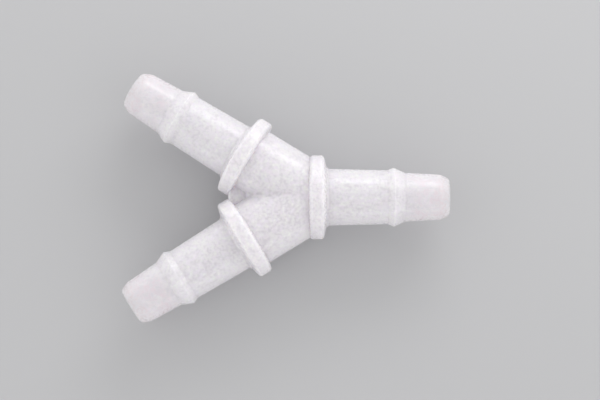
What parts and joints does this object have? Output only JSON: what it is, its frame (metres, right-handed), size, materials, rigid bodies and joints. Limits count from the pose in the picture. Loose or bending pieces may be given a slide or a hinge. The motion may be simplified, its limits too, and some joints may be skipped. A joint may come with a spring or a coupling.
{
  "type": "tubing y connector",
  "caption": "One-piece moulded Y fitting with barbed ends, stop collars and open passages, for joining flexible tubing.",
  "frame": {"origin": "the point where the axes of the three arms meet, in the plane that halves the moulding", "axes": "+X out along the stem; the branches run back on either side of -X, the left one towards +Y; +Z square to the plane of the three arms"},
  "size_m": [0.0615, 0.0472, 0.0158],
  "materials": {
    "natural_polypropylene": "satin, milky and translucent, uncoloured polypropylene"
  },
  "bodies": {
    "root": {"connector_body": "natural_polypropylene"}
  },
  "joints": []
}
